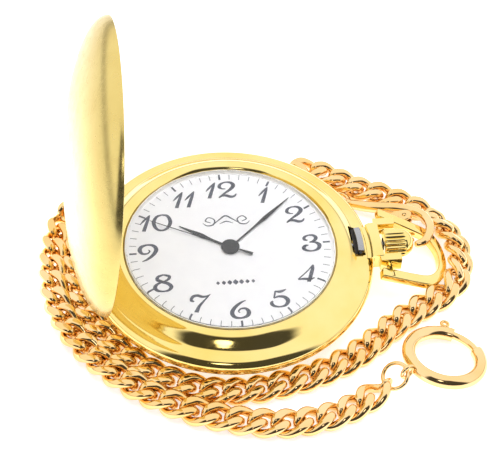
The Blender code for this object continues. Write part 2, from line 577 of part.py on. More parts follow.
def make_snap():
    """Hook, sprung gate and swivel eye; the hook lies over the bow and the gate under it."""
    line = [(22.9, 13.3, 1.0), (24.6, 12.4, 1.1), (26.5, 11.6, 1.2), (28.6, 10.8, 1.2), (30.6, 10.1, 1.1),
            (32.6, 9.1, 1.0), (34.1, 7.4, 0.95), (34.6, 5.2, 0.95), (34.1, 3.3, 0.9), (33.1, 2.0, 0.85),
            (31.95, 1.7, 0.75)]
    hook = tube("snap_hook", [(x, y, snap_height(x)) for x, y, w in line], 0.78, "chain_gold",
                radii=[w for x, y, w in line])
    upright = (-SNAP_SLOPE, 0, 1)
    pivot = (*GATE_PIVOT, snap_height(GATE_PIVOT[0]))
    cheek = rod("snap_cheek", 1.25, 0.42, 0.8, steps=16)
    under = rod("snap_under_cheek", 1.25, -0.8, -0.42, steps=16)
    rivet_bore = rod("rivet_bore", 0.36, -2, 2, steps=12)
    gate = tube("snap_gate", [(*GATE_PIVOT, pivot[2]), (29.9, 6.8, 2.74), (29.4, 5.8, 2.2), (29.9, 4.3, 2.15),
                              (31.4, 3.3, 2.5)], 0.38, "chain_gold")
    boss = rod("gate_boss", 0.6, -0.34, 0.34, steps=16)
    rivet = rod("snap_rivet", 0.3, -0.85, 0.85, "steel", steps=12)
    gate_bore = rod("gate_bore", 0.36, -1, 1, steps=12)
    for obj in (cheek, under, rivet_bore, boss, rivet, gate_bore):
        obj.matrix_world = facing(pivot, upright)
    fuse(hook, cheek, under)
    cut(hook, rivet_bore)
    fuse(gate, boss)
    cut(gate, gate_bore)

    post_start = Vector((22.9, 13.3, snap_height(22.9)))
    along = Vector((-0.882, 0.471, 0))
    post = rod("snap_post", 0.35, -0.4, 1.4, steps=12)
    head = rod("snap_post_head", 0.48, 1.3, 1.55, steps=12)
    for obj in (post, head):
        obj.matrix_world = facing(post_start, along)
    fuse(hook, post, head)
    eye = ring_wire("snap_swivel", 1.6, 0.4, "chain_gold")
    eye.matrix_world = facing(post_start + along * 2.35, (0, 0, 1))
    collar = rod("swivel_collar", 0.78, 0.3, 1.12, steps=16)
    collar_bore = rod("collar_bore", 0.45, -0.5, 1.3, steps=12)
    for obj in (collar, collar_bore):
        obj.matrix_world = facing(post_start, along)
    fuse(eye, collar)
    cut(eye, collar_bore)
    link = ring_wire("jump_ring_swivel", 0.95, 0.28, "chain_gold")
    link.matrix_world = facing(post_start + along * 4.05 + Vector((0, 0, 0.1)), along.cross((0, 0, 1)))


def main():
    make_case_middle()
    make_case_back()
    make_crystal()
    make_pendant()
    make_bow()
    make_lid()
    make_hinge_and_springs()
    make_crown()
    make_dial_and_hands()
    make_train()
    make_movement()
    make_spring_ring()
    make_jump_rings()
    make_snap()
    tube("chain", [(p.x, p.y, CHAIN_R + 0.05) for p in smooth_line(CHAIN_ROUTE, 2)], CHAIN_R, "chain_gold")


clear_scene()
PARTS = bpy.data.collections.new("pocket_watch")
CUTTERS = bpy.data.collections.new("cutters")
bpy.context.scene.collection.children.link(PARTS)
bpy.context.scene.collection.children.link(CUTTERS)
main()
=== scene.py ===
"""Looks of a hunter-case quartz pocket watch lying open, with its curb chain, snap and spring ring.

Sizes are millimetres in the part's own frame and become metres where a mesh is made.
"""
import math
import random

import bmesh
import bpy
from mathutils import Matrix, Vector


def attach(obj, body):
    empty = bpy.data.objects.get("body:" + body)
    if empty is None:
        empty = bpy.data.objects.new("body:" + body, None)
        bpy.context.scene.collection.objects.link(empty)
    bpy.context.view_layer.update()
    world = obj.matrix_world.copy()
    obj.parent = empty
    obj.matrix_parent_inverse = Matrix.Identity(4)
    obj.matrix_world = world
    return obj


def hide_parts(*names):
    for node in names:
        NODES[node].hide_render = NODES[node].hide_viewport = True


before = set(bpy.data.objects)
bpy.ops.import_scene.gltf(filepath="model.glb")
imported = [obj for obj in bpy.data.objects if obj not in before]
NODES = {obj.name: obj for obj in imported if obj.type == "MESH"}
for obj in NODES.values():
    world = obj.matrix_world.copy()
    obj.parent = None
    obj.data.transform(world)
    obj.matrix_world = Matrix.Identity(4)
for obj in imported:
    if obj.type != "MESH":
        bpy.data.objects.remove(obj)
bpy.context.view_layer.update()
MM = 0.001


# ---- camera -------------------------------------------------------------------
LENS_MM, SENSOR_MM = 129.7, 36.0
CAMERA_AZIMUTH, CAMERA_ELEVATION, CAMERA_ROLL = -10.270, 48.150, 4.070
CAMERA_TARGET = (3.5638, 2.4928, 7.0)
CAMERA_DISTANCE = 295.69


def make_camera():
    azimuth, elevation, roll = (math.radians(v) for v in (CAMERA_AZIMUTH, CAMERA_ELEVATION, CAMERA_ROLL))
    target = Vector(CAMERA_TARGET)
    back = Vector((math.sin(azimuth) * math.cos(elevation),
                   -math.cos(azimuth) * math.cos(elevation), math.sin(elevation)))
    right = Vector((math.cos(azimuth), math.sin(azimuth), 0))
    up = back.cross(right)
    across = right * math.cos(roll) + up * math.sin(roll)
    rise = up * math.cos(roll) - right * math.sin(roll)
    turn = Matrix((across, rise, back)).transposed().to_4x4()
    data = bpy.data.cameras.new("camera")
    data.lens = LENS_MM
    data.sensor_width = SENSOR_MM
    data.clip_start = 0.01
    data.clip_end = 20
    camera = bpy.data.objects.new("camera", data)
    bpy.context.scene.collection.objects.link(camera)
    camera.matrix_world = Matrix.Translation((target + back * CAMERA_DISTANCE) * MM) @ turn
    bpy.context.scene.camera = camera


# ---- materials ------------------------------------------------------------------
NOISE_ROUGHNESS = 0.55
BUMP_DEPTH = 0.02
GLASS_IOR = 1.45


def nodes_for(name):
    material = bpy.data.materials.new(name)
    material.use_nodes = True
    tree = material.node_tree
    return material, tree, tree.nodes["Principled BSDF"]


def noise(tree, scale, detail=3.0, stretch=(1, 1, 1)):
    place = tree.nodes.new("ShaderNodeTexCoord")
    mapping = tree.nodes.new("ShaderNodeMapping")
    mapping.inputs["Scale"].default_value = stretch
    texture = tree.nodes.new("ShaderNodeTexNoise")
    texture.inputs["Scale"].default_value = scale
    texture.inputs["Detail"].default_value = detail
    texture.inputs["Roughness"].default_value = NOISE_ROUGHNESS
    tree.links.new(place.outputs["Object"], mapping.inputs["Vector"])
    tree.links.new(mapping.outputs["Vector"], texture.inputs["Vector"])
    return texture.outputs["Fac"]


def ramp(tree, fac, low, high, start=0.3, end=0.7):
    """A colour or grey that runs from low to high as fac goes from start to end."""
    node = tree.nodes.new("ShaderNodeValToRGB")
    for stop, place, value in zip(node.color_ramp.elements, (start, end), (low, high)):
        stop.position = place
        stop.color = (*value, 1) if isinstance(value, tuple) else (value, value, value, 1)
    tree.links.new(fac, node.inputs["Fac"])
    return node.outputs["Color"]


def bump(tree, shader, height, strength):
    node = tree.nodes.new("ShaderNodeBump")
    node.inputs["Strength"].default_value = strength
    node.inputs["Distance"].default_value = BUMP_DEPTH * MM
    tree.links.new(height, node.inputs["Height"])
    tree.links.new(node.outputs["Normal"], shader.inputs["Normal"])


def metal(name, deep, pale, smoothest, roughest, grain, grain_strength, stretch=(1, 1, 1)):
    """Plated metal: a slow drift of colour, polish that varies, and a fine surface grain."""
    material, tree, shader = nodes_for(name)
    shader.inputs["Metallic"].default_value = 1.0
    tree.links.new(ramp(tree, noise(tree, 90), deep, pale), shader.inputs["Base Color"])
    tree.links.new(ramp(tree, noise(tree, 700, 5), smoothest, roughest), shader.inputs["Roughness"])
    bump(tree, shader, noise(tree, grain, 4, stretch), grain_strength)
    return material


def plain(name, dark, light, low, high, grain, grain_strength, shine=0.5):
    """Plastic, rubber, paint or enamel with a little mottle."""
    material, tree, shader = nodes_for(name)
    shader.inputs["Specular IOR Level"].default_value = shine
    tree.links.new(ramp(tree, noise(tree, 400), dark, light), shader.inputs["Base Color"])
    tree.links.new(ramp(tree, noise(tree, 1500, 4), low, high), shader.inputs["Roughness"])
    bump(tree, shader, noise(tree, grain, 4), grain_strength)
    return material


def glass(name):
    material, tree, shader = nodes_for(name)
    shader.inputs["Base Color"].default_value = (1, 1, 1, 1)
    shader.inputs["Transmission Weight"].default_value = 1.0
    shader.inputs["IOR"].default_value = GLASS_IOR
    tree.links.new(ramp(tree, noise(tree, 600), 0.0, 0.012), shader.inputs["Roughness"])
    return material


LOOKS = {
    "gold": metal("gold", (0.95, 0.70, 0.20), (1.0, 0.80, 0.33), 0.05, 0.11, 2500, 0.03),
    "satin_gold": metal("satin_gold", (0.75, 0.56, 0.18), (0.84, 0.66, 0.24), 0.2, 0.3, 9000, 0.08,
                        (1, 1, 0.15)),
    "chain_gold": metal("chain_gold", (0.93, 0.59, 0.21), (1.0, 0.72, 0.38), 0.05, 0.12, 3000, 0.04),
    "steel": metal("steel", (0.33, 0.33, 0.34), (0.46, 0.46, 0.47), 0.18, 0.34, 6000, 0.12, (1, 0.2, 1)),
    # Near-black; used only for the painted shade sheet inside the catch slot
    "slot_shade_black": metal("slot_shade_black", (0.03, 0.028, 0.025), (0.06, 0.055, 0.05), 0.3, 0.45, 6000, 0.1),
    "brass": metal("brass", (0.72, 0.55, 0.26), (0.84, 0.67, 0.36), 0.22, 0.36, 5000, 0.12),
    "copper": metal("copper", (0.62, 0.26, 0.12), (0.78, 0.38, 0.22), 0.3, 0.45, 8000, 0.5, (0.1, 1, 1)),
    "enamel_white": plain("enamel_white", (0.90, 0.90, 0.93), (0.94, 0.94, 0.96), 0.28, 0.36, 2500, 0.02),
    "hand_black": plain("hand_black", (0.008, 0.008, 0.01), (0.02, 0.02, 0.023), 0.3, 0.42, 3000, 0.05, 0.22),
    "print_ink": plain("print_ink", (0.03, 0.035, 0.06), (0.055, 0.06, 0.09), 0.45, 0.6, 4000, 0.1),
    "glass": glass("glass"),
    "rubber": plain("rubber", (0.02, 0.02, 0.02), (0.045, 0.045, 0.045), 0.6, 0.8, 3000, 0.3),
    "nylon": plain("nylon", (0.74, 0.74, 0.71), (0.84, 0.84, 0.81), 0.4, 0.52, 2000, 0.15),
    "board_green": plain("board_green", (0.02, 0.16, 0.07), (0.04, 0.24, 0.11), 0.35, 0.5, 3000, 0.1),
}


# ---- shapes ---------------------------------------------------------------------
def smooth_line(points, per=8):
    """A Catmull-Rom curve through points of two or three numbers, per steps to each span."""
    points = [Vector(p) for p in points]
    count = len(points)
    line = []
    for i in range(count - 1):
        b, c = points[i], points[i + 1]
        a = points[i - 1] if i else b * 2 - c
        d = points[i + 2] if i + 2 < count else c * 2 - b
        for step in range(per):
            t = step / per
            line.append((b * 2 + (c - a) * t + (a * 2 - b * 5 + c * 4 - d) * t * t
                         + (b * 3 - a - c * 3 + d) * t ** 3) / 2)
    line.append(points[-1])
    return line


def rounded(points, radius, steps=4):
    """A closed outline with its corners rounded off by about radius."""
    outline = []
    count = len(points)
    for i, corner in enumerate(points):
        corner = Vector(corner)
        before = Vector(points[i - 1]) - corner
        after = Vector(points[(i + 1) % count]) - corner
        reach = min(radius, before.length * 0.45, after.length * 0.45)
        start = corner + before.normalized() * reach
        end = corner + after.normalized() * reach
        for step in range(steps + 1):
            t = step / steps
            outline.append(tuple(start * (1 - t) ** 2 + corner * 2 * t * (1 - t) + end * t * t))
    return outline


def arc(radius, start, end, count):
    """Points on a circle, angles in degrees counter-clockwise from +X."""
    turns = [math.radians(start + (end - start) * i / count) for i in range(count + 1)]
    return [(radius * math.cos(a), radius * math.sin(a)) for a in turns]


def revolved(profile, steps, closed=True):
    """Rings of a lathe profile (radius, height); an open profile starts and ends on the axis."""
    verts, faces, rings = [], [], []
    for r, z in profile:
        if r < 1e-6:
            rings.append([len(verts)] * steps)
            verts.append((0, 0, z))
        else:
            rings.append([len(verts) + i for i in range(steps)])
            verts += [(r * math.cos(2 * math.pi * i / steps), r * math.sin(2 * math.pi * i / steps), z)
                      for i in range(steps)]
    pairs = list(zip(rings, rings[1:] + rings[:1])) if closed else list(zip(rings, rings[1:]))
    for low, high in pairs:
        for i in range(steps):
            j = (i + 1) % steps
            face = [low[i], low[j], high[j], high[i]]
            face = [v for k, v in enumerate(face) if v != face[k - 1]]
            if len(face) > 2:
                faces.append(face)
    return verts, faces


def swept(line, radii, sides=20, cyclic=False, upright=None):
    """A tube along a line of points. radii is one radius or one for each point."""
    line = [Vector(p) for p in line]
    count = len(line)
    if not isinstance(radii, (list, tuple)):
        radii = [radii] * count
    verts, faces = [], []
    side = None
    for i, point in enumerate(line):
        ahead = line[(i + 1) % count] if cyclic or i + 1 < count else point
        behind = line[i - 1] if cyclic or i else point
        tangent = (ahead - behind).normalized()
        if upright is not None:
            side = Vector(upright).cross(tangent).normalized()
        elif side is None:
            helper = Vector((0, 0, 1)) if abs(tangent.z) < 0.9 else Vector((1, 0, 0))
            side = helper.cross(tangent).normalized()
        else:
            side = (side - tangent * side.dot(tangent)).normalized()
        other = tangent.cross(side)
        verts += [point + (side * math.cos(2 * math.pi * k / sides)
                           + other * math.sin(2 * math.pi * k / sides)) * radii[i] for k in range(sides)]
    for i in range(count if cyclic else count - 1):
        low, high = i * sides, (i + 1) % count * sides
        faces += [[low + k, low + (k + 1) % sides, high + (k + 1) % sides, high + k] for k in range(sides)]
    if not cyclic:
        faces += [list(range(sides))[::-1], [(count - 1) * sides + k for k in range(sides)]]
    return [tuple(v) for v in verts], faces


def domed_ends(line, radius, steps=5):
    """The line with extra points and radii, so that a tube along it has rounded ends."""
    line = [Vector(p) for p in line]
    radii = list(radius) if isinstance(radius, (list, tuple)) else [radius] * len(line)

    def dome(tip, inward, size):
        away = (tip - inward).normalized()
        turns = [math.radians(84 * step / steps) for step in range(1, steps + 1)]
        return [(tip + away * size * math.sin(turn), size * math.cos(turn)) for turn in turns]

    first = dome(line[0], line[1], radii[0])[::-1]
    last = dome(line[-1], line[-2], radii[-1])
    return ([p for p, r in first] + line + [p for p, r in last],
            [r for p, r in first] + radii + [r for p, r in last])


def extruded(outline, low, high):
    """A flat outline raised from low to high along Z."""
    count = len(outline)
    verts = [(x, y, low) for x, y in outline] + [(x, y, high) for x, y in outline]
    faces = [[i, (i + 1) % count, count + (i + 1) % count, count + i] for i in range(count)]
    return verts, faces + [list(range(count))[::-1], [count + i for i in range(count)]]


def block(low, high):
    (x0, y0, z0), (x1, y1, z1) = low, high
    return extruded([(x0, y0), (x1, y0), (x1, y1), (x0, y1)], z0, z1)


def rod(radius, low, high, steps=32, edge=0.0):
    """A turned rod along Z with its two rims chamfered by edge."""
    if edge:
        profile = [(0, low), (radius - edge, low), (radius, low + edge), (radius, high - edge),
                   (radius - edge, high), (0, high)]
    else:
        profile = [(0, low), (radius, low), (radius, high), (0, high)]
    return revolved(profile, steps, closed=False)


def ring(radius, wire, steps=64, sides=20):
    return swept([(x, y, 0) for x, y in arc(radius, 0, 360, steps)[:-1]], wire, sides, cyclic=True,
                 upright=(0, 0, 1))


def facing(centre, normal):
    """Matrix that lays XY square to normal, with X in the world's XZ plane."""
    normal = Vector(normal).normalized()
    across = Vector((0, 1, 0)).cross(normal).normalized()
    turn = Matrix((across, normal.cross(across), normal)).transposed().to_4x4()
    return Matrix.Translation(Vector(centre)) @ turn


def turned_to(axis, at=(0, 0, 0)):
    """Matrix that turns Z to a world axis."""
    turn = Vector((0, 0, 1)).rotation_difference(Vector(axis)).to_matrix().to_4x4()
    return Matrix.Translation(Vector(at)) @ turn


def raw(shape, place=None, name="raw"):
    """An object without a finish, from a shape in millimetres that place may move first."""
    mesh = bpy.data.meshes.new(name)
    verts, faces = shape
    place = place or Matrix.Identity(4)
    mesh.from_pydata([(place @ Vector(v)) * MM for v in verts], [], faces)
    work = bmesh.new()
    work.from_mesh(mesh)
    bmesh.ops.recalc_face_normals(work, faces=work.faces)
    work.to_mesh(mesh)
    work.free()
    obj = bpy.data.objects.new(name, mesh)
    bpy.context.scene.collection.objects.link(obj)
    return obj


def settled(obj):
    """Puts the modifiers' result into the object's own mesh."""
    bpy.context.view_layer.update()
    graph = bpy.context.evaluated_depsgraph_get()
    mesh = bpy.data.meshes.new_from_object(obj.evaluated_get(graph))
    old = obj.data
    obj.modifiers.clear()
    obj.data = mesh
    bpy.data.meshes.remove(old)
    return obj


def combined(obj, others, operation):
    """Joins the others to obj or cuts them from it, and uses them up."""
    for other in others:
        change = obj.modifiers.new("combine", "BOOLEAN")
        change.operation = operation
        change.solver = "EXACT"
        change.object = other
    settled(obj)
    for other in others:
        bpy.data.objects.remove(other, do_unlink=True)
    return obj


def bevelled(obj, width, segments=3, angle=35):
    change = obj.modifiers.new("edge", "BEVEL")
    change.width = width * MM
    change.segments = segments
    change.limit_method = "ANGLE"
    change.angle_limit = math.radians(angle)
    change.harden_normals = False
    return settled(obj)


def piece(obj, name, look, body, nodes=(), sharp=35):
    """Names, finishes and mounts a piece, and hides the CAD nodes that it stands for."""
    obj.name = name
    obj.data.name = name
    obj.data.materials.clear()
    obj.data.materials.append(LOOKS[look])
    obj.data.shade_smooth()
    obj.data.set_sharp_from_angle(angle=math.radians(sharp))
    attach(obj, body)
    if nodes:
        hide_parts(*nodes)
    return obj


# ---- chain ----------------------------------------------------------------------
CHAIN_ROUTE = [
    (17.1, 16.8), (15.2, 18.7), (14.1, 20.6), (15.6, 21.9), (19.4, 20.3), (24.9, 16.5), (30.6, 13.4),
    (35.8, 9.1), (38.6, 4.0), (38.8, -1.6), (36.2, -6.6), (31.3, -9.9), (25.75, -13.45), (20.3, -17.8),
    (14.4, -21.3), (7.7, -23.5), (0.4, -24.7), (-6.7, -24.0), (-13.4, -20.7), (-18.8, -15.8), (-22.4, -10.1),
    (-24.4, -3.9), (-25.0, 2.6), (-24.2, 8.2), (-22.9, 12.2), (-24.1, 14.8), (-26.5, 13.2), (-28.2, 8.2),
    (-29.0, 1.6), (-28.4, -4.6), (-26.2, -11.1), (-22.4, -17.1), (-17.2, -22.4), (-11.0, -26.7),
    (-3.6, -29.8), (4.6, -31.5), (12.1, -30.8), (17.0, -28.9), (20.2, -26.9)]
CHAIN_Z = 1.42
CHAIN_SEED = 7
FIRST_LINK_AT, LAST_LINK_SHORT = 0.75, 0.8      # distances of the end links' centres from the route's ends
LEAN_X0, LEAN_RAMP, LEAN_Y = 33.5, 3.0, -7      # links past both lean over, fully after the ramp
LEAN_DEG = 38
LOOSE_ROLL, LOOSE_PITCH = 6, 3                  # degrees of play either way
LINK_PITCH = 3.6
LINK_WIRE = 1.48                                # diameter of the wire
LINK_WIDTH = 4.95
LINK_TWIST = -60                                # degrees at each end of a link
LINK_FLAT = 1.38                                # half thickness that the links are filed down to
LINK_SLACK = 0.4
LINK_POINTS = 44
LINK_SQUARE = 2.4                               # exponent of the link's outline: 2 would be an ellipse


def curb_link():
    """One twisted link along X, filed flat above and below."""
    half_length = (LINK_PITCH + LINK_WIRE + LINK_SLACK) / 2
    half_width = (LINK_WIDTH - LINK_WIRE) / 2
    line = []
    for i in range(LINK_POINTS):
        angle = 2 * math.pi * i / LINK_POINTS
        c, s = math.cos(angle), math.sin(angle)
        x = half_length * math.copysign(abs(c) ** (2 / LINK_SQUARE), c)
        y = half_width * math.copysign(abs(s) ** (2 / LINK_SQUARE), s)
        turn = math.radians(LINK_TWIST) * x / half_length
        line.append((x, y * math.cos(turn), y * math.sin(turn)))
    verts, faces = swept(line, LINK_WIRE / 2, 14, cyclic=True)
    soft = 0.93 * LINK_FLAT
    filed = []
    for x, y, z in verts:
        if abs(z) > soft:
            z = math.copysign(soft + (LINK_FLAT - soft) * math.tanh((abs(z) - soft) / (LINK_FLAT - soft)), z)
        filed.append((x, y, z))
    return filed, faces


def make_chain():
    line = smooth_line(CHAIN_ROUTE, 10)
    reach = [0.0]
    for a, b in zip(line, line[1:]):
        reach.append(reach[-1] + (b - a).length)

    def point_at(distance):
        distance = min(max(distance, 0), reach[-1])
        for i in range(1, len(reach)):
            if reach[i] >= distance:
                t = (distance - reach[i - 1]) / (reach[i] - reach[i - 1])
                return line[i - 1].lerp(line[i], t)

    link_verts, link_faces = curb_link()
    chance = random.Random(CHAIN_SEED)
    verts, faces = [], []
    first, last = FIRST_LINK_AT, reach[-1] - LAST_LINK_SHORT
    count = round((last - first) / LINK_PITCH)
    for n in range(count + 1):
        along = first + (last - first) * n / count
        here = point_at(along)
        ahead = point_at(along + LINK_PITCH / 2) - point_at(along - LINK_PITCH / 2)
        tangent = Vector((ahead.x, ahead.y, 0)).normalized()
        side = Vector((-tangent.y, tangent.x, 0))
        leaning = max(0.0, min(1.0, (here.x - LEAN_X0) / LEAN_RAMP)) * (here.y > LEAN_Y)
        roll_deg = chance.uniform(-LOOSE_ROLL, LOOSE_ROLL) - LEAN_DEG * leaning
        roll = Matrix.Rotation(math.radians(roll_deg), 3, tangent)
        pitch = Matrix.Rotation(math.radians(chance.uniform(-LOOSE_PITCH, LOOSE_PITCH)), 3, side)
        turn = (roll @ pitch @ Matrix((tangent, side, Vector((0, 0, 1)))).transposed()).to_4x4()
        place = Matrix.Translation(Vector((here.x, here.y, CHAIN_Z))) @ turn
        base = len(verts)
        verts += [tuple(place @ Vector(v)) for v in link_verts]
        faces += [[base + v for v in f] for f in link_faces]
    chain = piece(raw((verts, faces)), "curb_chain", "chain_gold", "case", ["chain"], sharp=60)


# ---- case -----------------------------------------------------------------------
HINGE_X, HINGE_Z = -21.8, 6.25
HINGE_BORE = 0.38
STEM_Z = 5.75
BOW_PIN_X, BOW_PIN_Z = 25.9, 5.3
BOW_PIN_BORE = 0.56


def along_x(z):
    """Turns Z to the case's X axis at height z."""
    return turned_to((1, 0, 0), (0, 0, z))


def along_y(x, z):
    """Turns Z to the direction of the hinge and of the bow's pins."""
    return turned_to((0, 1, 0), (x, 0, z))


def make_case():
    crest = smooth_line([(17.2, 7.45), (17.5, 7.86), (18.15, 8.18), (18.75, 8.12), (19.4, 7.78),
                         (20.2, 7.15), (20.9, 6.64), (21.5, 6.42), (22.0, 6.38)], 6)
    flank = smooth_line([(22.0, 6.38), (22.55, 6.28), (23.05, 5.98), (23.42, 5.52), (23.6, 4.95),
                         (23.56, 4.4), (23.36, 3.85), (23.0, 3.3)], 6)
    inner = [(22.93, 3.2), (20.7, 3.2), (20.7, 4.4), (19.5, 4.4), (19.5, 6.2), (18.1, 6.2), (18.1, 7.03),
             (17.2, 7.03)]
    profile = [tuple(p) for p in crest + flank[1:]] + inner
    case = raw(revolved(profile, 256))
    notch = raw(extruded(rounded([(-26, -8.9), (-21.9, -8.9), (-21.9, 8.9), (-26, 8.9)], 0.3), 4.75, 9))
    pocket = raw(block((-26, -4.75, 5.5), (-21.08, 4.75, 9)))
    stem_bore = raw(rod(0.5, 17, 25), along_x(STEM_Z))
    slot = raw(extruded(rounded([(19.9, -2.75), (22.1, -2.75), (22.1, 3.3), (19.9, 3.3)], 0.3), 4.5, 9))
    catch_room = raw(extruded(arc(22.2, -8, 66, 24) + arc(20.6, 66, -8, 24), 4.45, 5.6))
    spring_room = raw(extruded(arc(22.0, 112, 162, 24) + arc(20.95, 162, 112, 24), 2.9, 5.2))
    combined(case, [notch, pocket, stem_bore, slot, catch_room, spring_room], "DIFFERENCE")
    foot = raw(block((-22.15, -1.35, 4.5), (-21.45, 1.35, HINGE_Z)))
    knuckle = raw(rod(0.6, -1.45, 1.45, edge=0.08), along_y(HINGE_X, HINGE_Z))
    saddle = raw(extruded(arc(23.58, -8.6, 8.6, 16) + arc(22.5, 8.6, -8.6, 16), 4.6, 6.4))
    combined(case, [foot, knuckle, saddle], "UNION")
    combined(case, [raw(rod(HINGE_BORE, -3, 3), along_y(HINGE_X, HINGE_Z))], "DIFFERENCE")
    piece(case, "case_polished", "gold", "case", ["case_middle"], sharp=28)


def make_back():
    outer = smooth_line([(0, 0.0), (8, 0.0), (14.4, 0.0), (16.2, 0.08), (18.0, 0.35), (19.6, 0.8),
                         (20.9, 1.4), (21.7, 2.0), (22.4, 2.65), (22.8, 3.02)], 5)
    shell = [(22.8, 3.1), (20.6, 3.1), (20.6, 3.85), (19.95, 3.85), (19.95, 2.5), (19.3, 1.85),
             (18.2, 1.3), (16.2, 0.82), (14.4, 0.7), (0, 0.7)]
    back = raw(revolved([(max(r, 0), max(z, 0)) for r, z in outer] + shell, 192, closed=False))
    piece(back, "case_back_plate", "gold", "case", ["case_back"], sharp=30)


def make_crystal():
    profile = [(0, 7.95), (8, 7.95), (16.5, 7.95), (16.8, 7.91), (16.95, 7.82), (17.0, 7.7), (17.0, 7.47),
               (8, 7.47), (0, 7.47)]
    crystal = raw(revolved(profile, 192, closed=False))
    piece(crystal, "crystal_glass", "glass", "case", ["crystal"], sharp=50)


def make_pendant():
    pendant = raw(block((22.6, -3.6, 4.2), (24.9, 3.6, 7.15)))
    ears = [raw(block((24.3, y0, 4.5), (27.8, y1, 7.05))) for y0, y1 in ((-4.6, -3.2), (3.2, 4.6))]
    combined(pendant, ears, "UNION")
    bevelled(pendant, 0.22, 4)
    over_rim = [(0, 6.4), (23.16, 6.4), (23.16, 6.6), (23.3, 6.84), (23.55, 7.04), (23.95, 7.17),
                (23.95, 9), (0, 9)]
    seats = [raw(rod(23.66, 3, 6.48, 256)), raw(revolved(over_rim, 256, closed=False))]
    stem_bore = raw(rod(0.62, 22, 26), along_x(STEM_Z))
    pin_bores = [raw(rod(BOW_PIN_BORE, low, high), along_y(BOW_PIN_X, BOW_PIN_Z))
                 for low, high in ((-6, -3), (3, 6))]
    combined(pendant, seats + [stem_bore] + pin_bores, "DIFFERENCE")
    piece(pendant, "pendant_block", "gold", "case", ["pendant"], sharp=28)


# ---- lid ------------------------------------------------------------------------
LID_OPEN_DEG = -84.5
LID_BASE_Z = 6.45               # height of the rim while the lid is shut
LID_STEPS = 44


def make_lid():
    def dome(radius, rise):
        turns = [math.radians(90 * i / LID_STEPS) for i in range(LID_STEPS + 1)]
        return [(radius * math.sin(a), LID_BASE_Z + rise * math.cos(a)) for a in turns]

    outside = dome(23.1, 6.4)
    outside = [(0.0, outside[0][1])] + outside[1:-1] + [(23.1, 6.53), (23.06, 6.47), (23.0, LID_BASE_Z)]
    inside = dome(22.5, 5.8)[::-1]
    inside = [(22.6, LID_BASE_Z), (22.53, 6.48), (22.5, 6.55)] + inside[1:-1] + [(0.0, inside[-1][1])]
    closed_at = Matrix.Translation((-HINGE_X, 0, -HINGE_Z))
    opened = Matrix.Translation((HINGE_X, 0, HINGE_Z)) @ Matrix.Rotation(math.radians(LID_OPEN_DEG), 4, "Y")
    lid = raw(revolved(outside + inside, 224, closed=False), opened @ closed_at)
    slot = raw(block((-3, -4.85, -1), (1.2, 4.85, 1.2)), opened)
    combined(lid, [slot], "DIFFERENCE")
    extras = [raw(block((21.72 - HINGE_X, -1.6, 0.3), (22.75 - HINGE_X, 1.6, 0.6)), opened)]
    for y0, y1 in ((-4.4, -1.6), (1.6, 4.4)):
        extras.append(raw(block((-0.3, y0 + 0.1, 0), (0.3, y1 - 0.1, 1.7)), opened))
        extras.append(raw(rod(0.6, y0, y1, edge=0.08), opened @ turned_to((0, 1, 0))))
    combined(lid, extras, "UNION")
    combined(lid, [raw(rod(HINGE_BORE, -5, 5), opened @ turned_to((0, 1, 0)))], "DIFFERENCE")
    piece(lid, "lid_dome", "satin_gold", "lid", ["lid"], sharp=30)


# ---- crown, bow -----------------------------------------------------------------
CROWN_X0 = 25.45
CROWN_FLUTES, FLUTE_STEPS = 20, 12
FLUTE_SHARPNESS = 1.6
CROWN_SECTIONS = [              # distance along the axis, radius, depth of the flutes
    (0.0, 2.02, 0.0), (0.12, 2.22, 0.05), (0.3, 2.37, 0.2), (0.9, 2.37, 0.22), (1.9, 2.37, 0.22),
    (2.8, 2.37, 0.22), (3.2, 2.36, 0.2), (3.4, 2.3, 0.1), (3.52, 2.22, 0.0), (3.62, 2.24, 0.0),
    (3.78, 2.2, 0.0), (4.2, 1.95, 0.0), (4.6, 1.6, 0.0), (4.83, 1.25, 0.0),
    (4.93, 0.9, 0.0), (4.95, 0.5, 0.0)]


def make_crown():
    steps = CROWN_FLUTES * FLUTE_STEPS
    verts, faces = [], []
    for along, radius, depth in CROWN_SECTIONS:
        for i in range(steps):
            wave = (0.5 + 0.5 * math.cos(2 * math.pi * (i / FLUTE_STEPS))) ** FLUTE_SHARPNESS
            r = radius - depth * wave
            turn = 2 * math.pi * i / steps
            verts.append((r * math.cos(turn), r * math.sin(turn), along))
    for s in range(len(CROWN_SECTIONS) - 1):
        for i in range(steps):
            j = (i + 1) % steps
            faces.append([s * steps + i, s * steps + j, (s + 1) * steps + j, (s + 1) * steps + i])
    faces += [list(range(steps))[::-1], [(len(CROWN_SECTIONS) - 1) * steps + i for i in range(steps)]]
    place = turned_to((1, 0, 0), (CROWN_X0, 0, STEM_Z))
    crown = raw((verts, faces), place)
    combined(crown, [raw(rod(0.47, -1, 2.65), place), raw(rod(1.06, -1, 0.4), place)], "DIFFERENCE")
    piece(crown, "crown_knob", "gold", "crown_stem", ["crown"], sharp=30)


BOW_YAW_DEG, BOW_DROP_DEG = -6, 23
BOW_HALF_THICK = 0.75


